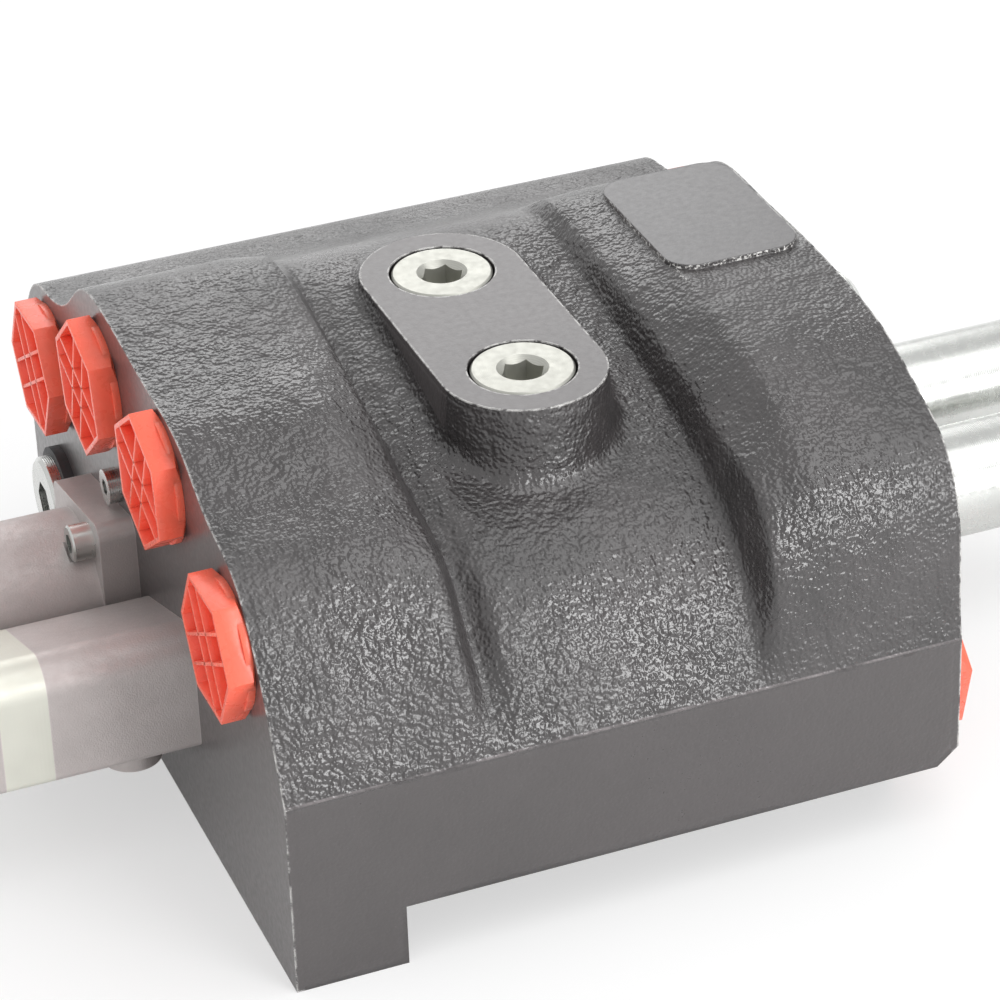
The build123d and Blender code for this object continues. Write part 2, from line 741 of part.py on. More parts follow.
front_y = spool_ys[0]
housing_end = -half_length - housing_length
plate_end = housing_end - plate_thickness
cover_end = plate_end - cover_length
clear_hole = m6_radius + m6_clearance
with BuildPart() as front_housing:
    extrude(housing_section(housing_end), amount=housing_length)
    with BuildSketch(Plane.XY.offset(spool_height - housing_height / 2 - port_boss_rise)):
        with Locations((-half_length - port_boss_inset, front_y)):
            Circle(port_boss_radius)
    extrude(amount=port_boss_rise + housing_lean)
    with BuildSketch(spool_plane(housing_end, front_y)):
        Circle(front_piston_radius)
    extrude(amount=housing_length - housing_wall, mode=Mode.SUBTRACT)
    with BuildSketch(spool_plane(housing_end, front_y)):
        Circle(stem_radius + stem_fit)
    extrude(amount=housing_length, mode=Mode.SUBTRACT)
    extrude(screw_sketch(spool_plane(housing_end, front_y), long_screws, clear_hole), amount=housing_length,
            mode=Mode.SUBTRACT)
    with BuildSketch(Plane.XY.offset(spool_height - housing_height / 2 - port_boss_rise)):
        with Locations((-half_length - port_boss_inset, front_y)):
            Circle(air_port_radius)
    extrude(amount=housing_height / 2 + port_boss_rise - front_piston_radius + 1, mode=Mode.SUBTRACT)
save(front_housing.part, "front_actuator_housing")
with BuildPart() as spacer_plate:
    extrude(housing_section(plate_end), amount=plate_thickness)
    extrude(screw_sketch(spool_plane(plate_end, front_y), long_screws, clear_hole), amount=plate_thickness,
            mode=Mode.SUBTRACT)
    with BuildSketch(spool_plane(plate_end, front_y)):
        Circle(cover_cavity_radius)
    extrude(amount=plate_thickness, mode=Mode.SUBTRACT)
save(spacer_plate.part, "spacer_plate")
with BuildPart() as end_cover:
    extrude(housing_section(cover_end), amount=cover_length)
    extrude(screw_sketch(spool_plane(cover_end, front_y), long_screws, clear_hole), amount=cover_length,
            mode=Mode.SUBTRACT)
    with BuildSketch(spool_plane(plate_end - cover_cavity_depth, front_y)):
        Circle(cover_cavity_radius)
    extrude(amount=cover_cavity_depth, mode=Mode.SUBTRACT)
    with BuildSketch(spool_plane(cover_end, front_y)):
        Circle(air_port_radius)
    extrude(amount=cover_length, mode=Mode.SUBTRACT)
save(end_cover.part, "front_end_cover")
tie_length = -half_length - cover_end + m6_engagement
with BuildPart() as tie_screws:
    for y, z in long_screws:
        add(cap_screw(Vector(cover_end, front_y + y, spool_height + z), Vector(1, 0, 0), tie_length))
save(tie_screws.part, "front_cover_screws")

# Middle actuator: flanged barrel, its end cover and its two flange screws
barrel_end = -half_length - barrel_length
middle_cover_end = barrel_end - middle_cover_thickness
barrel_port_x = -half_length - barrel_port_inset
with BuildPart() as barrel:
    flange = leaning_section(spool_plane(-half_length - flange_thickness, middle_y), flange_width, flange_height,
                             flange_lean, flange_corner, flange_corner)
    extrude(flange, amount=flange_thickness)
    with BuildSketch(spool_plane(barrel_end, middle_y)):
        Circle(barrel_radius)
    extrude(amount=barrel_length)
    with BuildSketch(Plane.XY.offset(spool_height - barrel_radius - port_boss_rise)):
        with Locations((barrel_port_x, middle_y)):
            Circle(port_boss_radius)
    extrude(amount=port_boss_rise + 2)
    with BuildSketch(spool_plane(barrel_end, middle_y)):
        Circle(middle_piston_radius)
    extrude(amount=barrel_length - housing_wall, mode=Mode.SUBTRACT)
    with BuildSketch(spool_plane(barrel_end, middle_y)):
        Circle(stem_radius + stem_fit)
    extrude(amount=barrel_length, mode=Mode.SUBTRACT)
    with BuildSketch(Plane.XY.offset(spool_height - barrel_radius - port_boss_rise)):
        with Locations((barrel_port_x, middle_y)):
            Circle(air_port_radius)
    extrude(amount=barrel_radius + port_boss_rise - middle_piston_radius + 1, mode=Mode.SUBTRACT)
    head_plane = spool_plane(-half_length - flange_thickness, middle_y)
    extrude(screw_sketch(head_plane, flange_screws, m6_head_radius + flange_screw_pocket),
            amount=-m6_head_length - flange_screw_pocket, mode=Mode.SUBTRACT)
    extrude(screw_sketch(spool_plane(barrel_end, middle_y), flange_screws, clear_hole), amount=barrel_length,
            mode=Mode.SUBTRACT)
save(barrel.part, "middle_actuator_barrel")
with BuildPart() as middle_cover:
    with BuildSketch(spool_plane(middle_cover_end, middle_y)):
        Circle(barrel_radius)
    extrude(amount=middle_cover_thickness)
    with BuildSketch(spool_plane(barrel_end, middle_y)):
        Circle(middle_piston_radius - spigot_slack)
    extrude(amount=middle_cover_spigot)
    chamfer(middle_cover.edges().group_by(Axis.X)[0], middle_cover_chamfer)
    with BuildSketch(spool_plane(middle_cover_end, middle_y)):
        Circle(air_port_radius)
    extrude(amount=middle_cover_thickness + middle_cover_spigot, mode=Mode.SUBTRACT)
save(middle_cover.part, "middle_end_cover")
with BuildPart() as flange_screw_set:
    for y, z in flange_screws:
        seat = Vector(-half_length - flange_thickness, middle_y + y, spool_height + z)
        add(cap_screw(seat, Vector(1, 0, 0), flange_thickness + m6_engagement))
save(flange_screw_set.part, "middle_flange_screws")

# Pistons and their nuts, which ride on the first two spools
piston_bores = (front_piston_radius, middle_piston_radius)
for k, (y, piston_front, piston_bore) in enumerate(zip(spool_ys, piston_fronts, piston_bores)):
    piston_back = piston_front - piston_thickness
    piston_outer = piston_bore - running_fit
    save(turned(y, spool_height, [
        (piston_back, stem_radius), (piston_back, piston_outer), (piston_front, piston_outer),
        (piston_front, stem_radius)]), f"actuator_piston_{k + 1}")
    with BuildPart() as nut:
        with BuildSketch(spool_plane(nut_ends[k], y)):
            RegularPolygon(piston_nut_flats / 2, 6, major_radius=False)
            Circle(stem_radius, mode=Mode.SUBTRACT)
        extrude(amount=piston_nut_length)
    save(nut.part, f"piston_nut_{k + 1}")

# Rear bore plug on its ring, and the gauge plug
rear_face = -half_length - rear_ring_thickness
with BuildPart() as rear_plug:
    with BuildSketch(spool_plane(rear_face - rear_plug_height, rear_y)):
        Circle(rear_plug_radius)
    extrude(amount=rear_plug_height)
    chamfer(rear_plug.edges().group_by(Axis.X)[0], 1)
    with BuildSketch(spool_plane(rear_face, rear_y)):
        Circle(rear_plug_thread_radius)
    extrude(amount=rear_ring_thickness + rear_plug_thread_length)
    with BuildSketch(spool_plane(rear_face - rear_plug_height, rear_y)):
        RegularPolygon(rear_plug_socket_flats / 2, 6, major_radius=False)
    extrude(amount=rear_plug_socket_depth, mode=Mode.SUBTRACT)
save(rear_plug.part, "rear_bore_plug")
save(turned(rear_y, spool_height, [
    (rear_face, rear_plug_thread_radius + thread_slack), (rear_face, rear_ring_radius),
    (-half_length, rear_ring_radius), (-half_length, rear_plug_thread_radius + thread_slack)]), "rear_plug_ring")
with BuildPart() as gauge_plug:
    gauge_plane = Plane(origin=(-half_length, gauge_plug_y, gauge_plug_z), x_dir=(0, 1, 0), z_dir=(1, 0, 0))
    with BuildSketch(gauge_plane.offset(-gauge_plug_height)):
        Circle(gauge_plug_radius)
    extrude(amount=gauge_plug_height)
    with BuildSketch(gauge_plane):
        Circle(gauge_thread_radius)
    extrude(amount=gauge_thread_length)
    with BuildSketch(gauge_plane.offset(-gauge_plug_height)):
        RegularPolygon(gauge_socket_flats / 2, 6, major_radius=False)
    extrude(amount=gauge_socket_depth, mode=Mode.SUBTRACT)
save(gauge_plug.part, "gauge_plug")

# Right end: spring caps, centring springs, washers and end bolts
collar_end = half_length + cap_collar_length
spigot_radius = cap_bore_radius + cap_spigot_wall
washer_face = half_length + washer_gap
for k, (y, length, stem_end) in enumerate(zip(spool_ys, cap_lengths, stem_ends)):
    cap_end = half_length + length
    with BuildPart() as collar:
        with BuildSketch(spool_plane(half_length, y)):
            RectangleRounded(cap_flange, cap_flange, cap_flange_corner)
        extrude(amount=cap_flange_thickness)
        with BuildSketch(spool_plane(half_length, y)):
            Circle(cap_radius)
        extrude(amount=cap_collar_length)
        with BuildSketch(spool_plane(half_length, y)):
            Circle(cap_bore_radius)
        extrude(amount=cap_collar_length, mode=Mode.SUBTRACT)
        with BuildSketch(spool_plane(collar_end - cap_spigot, y)):
            Circle(spigot_radius + thread_slack)
        extrude(amount=cap_spigot, mode=Mode.SUBTRACT)
        extrude(screw_sketch(spool_plane(half_length, y), cap_screws, clear_hole), amount=cap_flange_thickness,
                mode=Mode.SUBTRACT)
    save(collar.part, f"cap_collar_{k + 1}")
    spigot_end = collar_end - cap_spigot + thread_slack
    tube = turned(y, spool_height, [
        (spigot_end, cap_bore_radius), (spigot_end, spigot_radius),
        (collar_end, spigot_radius), (collar_end, cap_radius), (cap_end - cap_end_chamfer, cap_radius),
        (cap_end, cap_radius - cap_end_chamfer), (cap_end, 0), (cap_end - cap_end_wall, 0),
        (cap_end - cap_end_wall, cap_bore_radius)])
    save(tube, f"cap_tube_{k + 1}")
    bore = stem_radius + washer_bore_slack
    save(turned(y, spool_height, [
        (washer_face, bore), (washer_face, washer_radius), (washer_face + washer_thickness, washer_radius),
        (washer_face + washer_thickness, washer_lip_radius),
        (washer_face + washer_thickness + washer_lip, washer_lip_radius),
        (washer_face + washer_thickness + washer_lip, bore)]), f"inner_spring_washer_{k + 1}")
    save(turned(y, spool_height, [
        (stem_end, bolt_shank_radius + thread_slack), (stem_end, washer_radius),
        (stem_end + washer_thickness, washer_radius),
        (stem_end + washer_thickness, bolt_shank_radius + thread_slack)]), f"outer_spring_washer_{k + 1}")
    spring_start = washer_face + washer_thickness
    spring_length = stem_end - spring_start
    save(coil(Vector(spring_start, y, spool_height), Vector(1, 0, 0), spring_length, spring_radius, spring_wire,
              spring_length / spring_pitch), f"centring_spring_{k + 1}")
    with BuildPart() as end_bolt:
        with BuildSketch(spool_plane(stem_end - bolt_shank_length, y)):
            Circle(bolt_shank_radius)
        extrude(amount=bolt_shank_length + washer_thickness)
        with BuildSketch(spool_plane(stem_end + washer_thickness, y)):
            Circle(bolt_head_radius)
        extrude(amount=bolt_head_length)
        with BuildSketch(spool_plane(stem_end + washer_thickness + bolt_head_length, y)):
            RegularPolygon(m6_socket_flats / 2, 6, major_radius=False)
        extrude(amount=-m6_socket_depth, mode=Mode.SUBTRACT)
    save(end_bolt.part, f"spool_end_bolt_{k + 1}")

with BuildPart() as cap_screw_set:
    for spool_y in spool_ys:
        for y, z in cap_screws:
            seat = Vector(half_length + cap_flange_thickness, spool_y + y, spool_height + z)
            add(cap_screw(seat, Vector(-1, 0, 0), cap_flange_thickness + m6_engagement))
save(cap_screw_set.part, "cap_flange_screws")
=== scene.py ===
import math

import bmesh
import bpy
from bpy.props import FloatProperty, FloatVectorProperty, IntProperty, PointerProperty
from mathutils import Matrix, Vector


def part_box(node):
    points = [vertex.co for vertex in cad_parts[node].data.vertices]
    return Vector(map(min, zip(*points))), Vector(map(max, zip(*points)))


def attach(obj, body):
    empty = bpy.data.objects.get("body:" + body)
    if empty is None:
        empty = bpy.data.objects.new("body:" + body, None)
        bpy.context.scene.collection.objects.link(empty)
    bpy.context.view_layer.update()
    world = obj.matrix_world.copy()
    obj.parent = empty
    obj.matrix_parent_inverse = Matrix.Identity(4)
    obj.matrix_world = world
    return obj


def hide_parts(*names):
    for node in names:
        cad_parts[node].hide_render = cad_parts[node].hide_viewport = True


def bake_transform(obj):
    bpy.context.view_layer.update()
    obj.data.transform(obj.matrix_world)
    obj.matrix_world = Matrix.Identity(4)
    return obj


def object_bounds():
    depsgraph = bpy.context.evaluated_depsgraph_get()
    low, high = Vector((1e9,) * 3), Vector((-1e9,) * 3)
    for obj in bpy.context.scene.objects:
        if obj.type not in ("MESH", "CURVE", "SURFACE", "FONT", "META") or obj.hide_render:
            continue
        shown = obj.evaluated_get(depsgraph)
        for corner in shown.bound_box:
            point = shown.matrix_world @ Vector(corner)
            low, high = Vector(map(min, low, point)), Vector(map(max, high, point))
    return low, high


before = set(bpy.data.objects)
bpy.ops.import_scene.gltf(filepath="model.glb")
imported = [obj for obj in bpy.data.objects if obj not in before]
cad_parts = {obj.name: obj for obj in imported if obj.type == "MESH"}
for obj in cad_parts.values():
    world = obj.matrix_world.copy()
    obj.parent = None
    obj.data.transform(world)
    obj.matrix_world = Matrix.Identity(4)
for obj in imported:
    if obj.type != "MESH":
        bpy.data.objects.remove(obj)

bl_info = {
    "name": "Monoblock Control Valve",
    "version": (1, 0, 0),
    "blender": (4, 5, 0),
    "location": "View3D > Sidebar > Valve",
    "description": "Finishes and moulded pieces of a cast-iron monoblock control valve",
    "category": "Object",
}

CAD_BOX = [list(corner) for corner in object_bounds()]
BLOCK = "block"
ALUMINIUM = ("front_actuator_housing", "front_end_cover", "middle_actuator_barrel", "middle_end_cover")
RUBBER = ("load_check_seals", "spool_seals", "rear_plug_ring")
LEFT_PORTS = ("port_plug_t", "port_plug_a1", "port_plug_a2", "port_plug_a3")
RIGHT_PORTS = ("port_plug_p", "port_plug_b1", "port_plug_b2", "port_plug_b3")

# Each spring, the body that pushes it, its axis, and the side of it that moves
SPRINGS = (
    ("centring_spring_1", "spool_set_1", 0, 1), ("centring_spring_2", "spool_set_2", 0, 1),
    ("centring_spring_3", "spool_set_3", 0, 1), ("load_check_spring_1", "check_poppet_rear", 2, -1),
    ("load_check_spring_2", "check_poppet_front", 2, -1), ("relief_spring", "relief_poppet_body", 0, -1),
)

# How far each plug's head is turned in its port, in degrees
PLUG_TURNS = {
    "port_plug_t": 59.8, "port_plug_a1": 23.7, "port_plug_a2": 18.8, "port_plug_a3": 58.0,
    "port_plug_p": 44.0, "port_plug_b1": 10.0, "port_plug_b2": 37.0, "port_plug_b3": 21.0,
}

# Zones of the casting's finish: where each one starts and where it is whole, in metres
BOSS_TOP = (0.1221, 0.1224)
BOSS_TOP_ENDS = (0.0225, 0.022)
BOSS_RIM = (0.1205, 0.1213)
BOSS_RIM_ENDS = (0.026, 0.0245)
PAD_TOP = (0.1276, 0.1279)
PAD_TOP_LEFT = (0.050, 0.0505)
PAD_RIM = (0.1255, 0.1265)
PAD_RIM_LEFT = (0.046, 0.050)
PAD_EDGE = (0.1262, 0.1268)
PAD_EDGE_LEFT = (0.048, 0.052)
FRONT_FACE = (-0.10, -0.104)
STRIP_FADE = 0.0012
STRIP_SMOOTHNESS = 0.72
# Band about the strip's top edge that gets a pale painted highlight standing in for the light on its ledge
RIDGE_HIGHLIGHT = (0.0005, 0.0002)
END_RIM = (0.0025, 0.0015)
# Share of a normal along an axis from which a face counts as square to it
SQUARE = (0.985, 0.998)

HALF_CORNER = math.pi / 6
FACING = 0.9
PLUG_CHAMFER = 0.0021
PLUG_CHAMFER_SPREAD = 0.0120
RIB_DROP = 0.0001
RIB_DRAFT = 0.8
RIB_BITE = 0.6
SHANK_BITE = 0.0005
SHANK_WALL = 0.002
BEVEL_ANGLE = math.radians(40)
SMOOTH_ANGLE = math.radians(35)

FLOOR_SIZE = 12.0
FLOOR_COLOUR = (0.9, 0.9, 0.9)
WHITE = (1.0, 1.0, 1.0, 1.0)
CAMERA_WHITE = 0.52
MIRROR_WHITE = 0.2
LAMP_TARGET = Vector((0.0, 0.0, 0.06))
# Each lamp, the value that holds its power, its size and its place
LAMPS = (
    ("key_lamp", "key", 0.9, Vector((0.45, -0.35, 1.1))),
    ("front_lamp", "front", 0.55, Vector((0.48, -1.12, 0.48))),
    ("back_lamp", "back", 0.8, Vector((0.25, 1.15, 0.75))),
)
CAMERA_PLACE = (-0.32302, -0.87578, 0.62447)
CAMERA_RIGHT = Vector((0.92820, -0.37088, -0.03004))
CAMERA_UP = Vector((0.21612, 0.47162, 0.85492))
SENSOR_WIDTH = 36.0
CLIP_START = 0.05


class CastingFinish(bpy.types.PropertyGroup):
    """Paint and sand-cast grain of the valve block."""

    paint: FloatVectorProperty(name="Paint", description="Colour of the paint on the casting",
                               subtype="COLOR", size=3, min=0, max=1, default=(0.036, 0.032, 0.0325))
    face_paint: FloatVectorProperty(name="Face paint",
                                    description="Colour of the paint on the machined faces",
                                    subtype="COLOR", size=3, min=0, max=1, default=(0.062, 0.054, 0.0545))
    pad_paint: FloatVectorProperty(name="Pad paint",
                                   description="Colour of the thin paint on the plain pad",
                                   subtype="COLOR", size=3, min=0, max=1, default=(0.058, 0.054, 0.0555))
    chip: FloatVectorProperty(name="Chipped edge",
                              description="Colour where the paint is chipped off an edge",
                              subtype="COLOR", size=3, min=0, max=1, default=(0.72, 0.71, 0.69))
    grain: FloatProperty(name="Grain", description="Size of the sand grain in the casting",
                         subtype="DISTANCE", unit="LENGTH", default=0.0010, min=0.0004, max=0.01)
    depth: FloatProperty(name="Grain depth", description="Depth of the sand grain in the casting",
                         subtype="DISTANCE", unit="LENGTH", default=0.00052, min=0.0, max=0.005)
    rounding: FloatProperty(name="Rounding", description="Radius of the soft casting edges",
                            subtype="DISTANCE", unit="LENGTH", default=0.0055, min=0.0001, max=0.02)
    crisp: FloatProperty(name="Crisp edge", description="Radius of the edges of the machined faces",
                         subtype="DISTANCE", unit="LENGTH", default=0.0006, min=0.0001, max=0.01)
    end_reach: FloatProperty(name="End face", description="Distance of the end faces from the middle",
                             subtype="DISTANCE", unit="LENGTH", default=0.092, min=0.01, max=0.5)
    strip_top: FloatProperty(name="Strip height", description="Height of the smooth strip along the front",
                             subtype="DISTANCE", unit="LENGTH", default=0.0558, min=0.0, max=0.2)
    edge: FloatProperty(name="Worn edge", description="Width of the worn band along the edges",
                        subtype="DISTANCE", unit="LENGTH", default=0.0009, min=0.0001, max=0.005)


class PlugShape(bpy.types.PropertyGroup):
    """Sizes and colour of the moulded port plugs."""

    colour: FloatVectorProperty(name="Colour", description="Colour of the moulded plastic",
                                subtype="COLOR", size=3, min=0, max=1, default=(1.0, 0.150, 0.090))
    flats: FloatProperty(name="Across flats", description="Width of the hexagon head across its flats",
                         subtype="DISTANCE", unit="LENGTH", default=0.033, min=0.01, max=0.08)
    head: FloatProperty(name="Head height", description="Height of the head above the end face",
                        subtype="DISTANCE", unit="LENGTH", default=0.0073, min=0.002, max=0.02)
    flange_radius: FloatProperty(name="Flange radius",
                                 description="Radius of the round flange under the head",
                                 subtype="DISTANCE", unit="LENGTH", default=0.0173, min=0.005, max=0.04)
    flange: FloatProperty(name="Flange thickness",
                          description="Thickness of the round flange under the head",
                          subtype="DISTANCE", unit="LENGTH", default=0.002, min=0.0005, max=0.01)
    recess: FloatProperty(name="Recess depth", description="Depth of the hollow in the head's outer face",
                          subtype="DISTANCE", unit="LENGTH", default=0.0052, min=0.001, max=0.02)
    rim: FloatProperty(name="Rim wall", description="Wall around the hollow of the head",
                       subtype="DISTANCE", unit="LENGTH", default=0.0013, min=0.0005, max=0.005)
    rib: FloatProperty(name="Rib thickness", description="Thickness of the ribs in the head",
                       subtype="DISTANCE", unit="LENGTH", default=0.0012, min=0.0005, max=0.005)
    rib_spacing: FloatProperty(name="Rib spacing", description="Distance between two ribs of one direction",
                               subtype="DISTANCE", unit="LENGTH", default=0.0075, min=0.002, max=0.02)
    shank_radius: FloatProperty(name="Shank radius", description="Radius of the threaded shank in the port",
                                subtype="DISTANCE", unit="LENGTH", default=0.01315, min=0.004, max=0.04)
    shank: FloatProperty(name="Shank length", description="Length of the shank in the port",
                         subtype="DISTANCE", unit="LENGTH", default=0.014, min=0.004, max=0.04)
    rounding: FloatProperty(name="Rounding", description="Radius of the moulded edges",
                            subtype="DISTANCE", unit="LENGTH", default=0.0005, min=0.00005, max=0.002)


class MetalFinish(bpy.types.PropertyGroup):
    """Colours of the bare and plated metal pieces and of the seals."""

    zinc: FloatVectorProperty(name="Zinc", description="Colour of the bright zinc plating",
                              subtype="COLOR", size=3, min=0, max=1, default=(0.66, 0.67, 0.65))
    screw_plug: FloatVectorProperty(name="Screw plugs", description="Colour of the turned screw plugs",
                                    subtype="COLOR", size=3, min=0, max=1, default=(0.47, 0.47, 0.43))
    passivated: FloatVectorProperty(name="Spacer plate",
                                    description="Colour of the greenish plated spacer plate",
                                    subtype="COLOR", size=3, min=0, max=1, default=(0.72, 0.725, 0.65))
    aluminium: FloatVectorProperty(name="Aluminium", description="Colour of the blasted aluminium",
                                   subtype="COLOR", size=3, min=0, max=1, default=(0.53, 0.49, 0.48))
    steel: FloatVectorProperty(name="Steel", description="Colour of the plain and ground steel",
                               subtype="COLOR", size=3, min=0, max=1, default=(0.56, 0.56, 0.57))
    rubber: FloatVectorProperty(name="Rubber", description="Colour of the seal rings",
                                subtype="COLOR", size=3, min=0, max=1, default=(0.03, 0.03, 0.032))


class StageLight(bpy.types.PropertyGroup):
    """Lamps, floor and camera."""

    key: FloatProperty(name="Key lamp", description="Power of the large soft lamp",
                       subtype="POWER", default=4.0, min=0)
    front: FloatProperty(name="Front lamp", description="Power of the smaller lamp in front",
                         subtype="POWER", default=7.0, min=0)
    back: FloatProperty(name="Back lamp", description="Power of the soft lamp behind the valve",
                        subtype="POWER", default=3.5, min=0)
    room: FloatProperty(name="Room", description="Strength of the pale room light", default=0.92, min=0)
    lens: FloatProperty(name="Lens", description="Focal length of the camera in millimetres",
                        default=145.0, min=10)
    floor_cuts: IntProperty(name="Floor cuts", description="Cuts along each side of the floor",
                            default=4, min=1)


class Wiring:
    """A node tree under construction."""

    def __init__(self, tree, coordinates):
        self.tree = tree
        self.coordinates = self.node("ShaderNodeTexCoord").outputs[coordinates]

    def node(self, kind, settings=None, **inputs):
        made = self.tree.nodes.new(kind)
        for key, value in (settings or {}).items():
            setattr(made, key, value)
        for key, value in inputs.items():
            self.feed(made.inputs[key.replace("_", " ")], value)
        return made

    def feed(self, socket, value):
        """Link a socket to another one, or give it a value."""
        if isinstance(value, bpy.types.NodeSocket):
            self.tree.links.new(value, socket)
        else:
            socket.default_value = value

    def math(self, operation, *values):
        made = self.node("ShaderNodeMath", {"operation": operation})
        for socket, value in zip(made.inputs, values):
            self.feed(socket, value)
        return made.outputs[0]

    def every(self, first, *others):
        """The product of some masks: one where all of them are one."""
        for other in others:
            first = self.math("MULTIPLY", first, other)
        return first

    def either(self, first, *others):
        """The highest of some masks."""
        for other in others:
            first = self.math("MAXIMUM", first, other)
        return first

    def ramp(self, factor, low, high, start=0.0, end=1.0):
        made = self.node("ShaderNodeMapRange", Value=factor, From_Min=low, From_Max=high,
                         To_Min=start, To_Max=end)
        return made.outputs["Result"]

    def place(self):
        return self.node("ShaderNodeSeparateXYZ", Vector=self.coordinates).outputs

    def show(self, share, first, second, output):
        """Mix two shaders and show them at the output."""
        both = self.node("ShaderNodeMixShader")
        for socket, value in zip(both.inputs, (share, first, second)):
            self.feed(socket, value)
        self.feed(self.tree.nodes[output].inputs["Surface"], both.outputs[0])


class Finish(Wiring):
    """A material under construction."""

    def __init__(self, name):
        self.material = bpy.data.materials.new(name)
        self.material.use_nodes = True
        super().__init__(self.material.node_tree, "Object")
        self.shader = self.tree.nodes["Principled BSDF"]

    def noise(self, size, detail=3.0, roughness=0.55):
        made = self.node("ShaderNodeTexNoise", Vector=self.coordinates, Scale=1 / size, Detail=detail,
                         Roughness=roughness)
        return made.outputs["Fac"]

    def cells(self, size):
        made = self.node("ShaderNodeTexVoronoi", {"feature": "SMOOTH_F1"}, Vector=self.coordinates,
                         Scale=1 / size)
        return made.outputs["Distance"]

    def mix(self, factor, first, second):
        """Mix two colours."""
        made = self.node("ShaderNodeMix", {"data_type": "RGBA"})
        for socket, value in zip((made.inputs[0], made.inputs[6], made.inputs[7]), (factor, first, second)):
            self.feed(socket, self.opaque(value))
        return made.outputs[2]

    @staticmethod
    def opaque(colour):
        return (*colour, 1.0) if isinstance(colour, tuple) else colour

    def blend(self, factor, first, second):
        """Mix two numbers."""
        made = self.node("ShaderNodeMix", {"data_type": "FLOAT"})
        for socket, value in zip((made.inputs[0], made.inputs[2], made.inputs[3]), (factor, first, second)):
            self.feed(socket, value)
        return made.outputs[0]

    def bump(self, height, depth, strength=1.0, normal=None):
        made = self.node("ShaderNodeBump", Height=height, Distance=depth, Strength=strength)
        if normal is not None:
            self.feed(made.inputs["Normal"], normal)
        return made.outputs["Normal"]

    def edges(self, width):
        """One on the edges and nought away from them."""
        rounded = self.node("ShaderNodeBevel", {"samples": 4}, Radius=width).outputs["Normal"]
        flat = self.node("ShaderNodeNewGeometry").outputs["Normal"]
        meet = self.node("ShaderNodeVectorMath", {"operation": "DOT_PRODUCT"})
        self.feed(meet.inputs[0], rounded)
        self.feed(meet.inputs[1], flat)
        return self.ramp(meet.outputs["Value"], 0.992, 0.92)

    def finish(self, colour, roughness, metallic=0.0, normal=None):
        self.feed(self.shader.inputs["Base Color"], self.opaque(colour))
        self.feed(self.shader.inputs["Roughness"], roughness)
        self.shader.inputs["Metallic"].default_value = metallic
        if normal is not None:
            self.feed(self.shader.inputs["Normal"], normal)
        return self.material


def shade(colour, factor):
    """A colour made lighter or darker."""
    return tuple(min(1.0, part * factor) for part in colour)


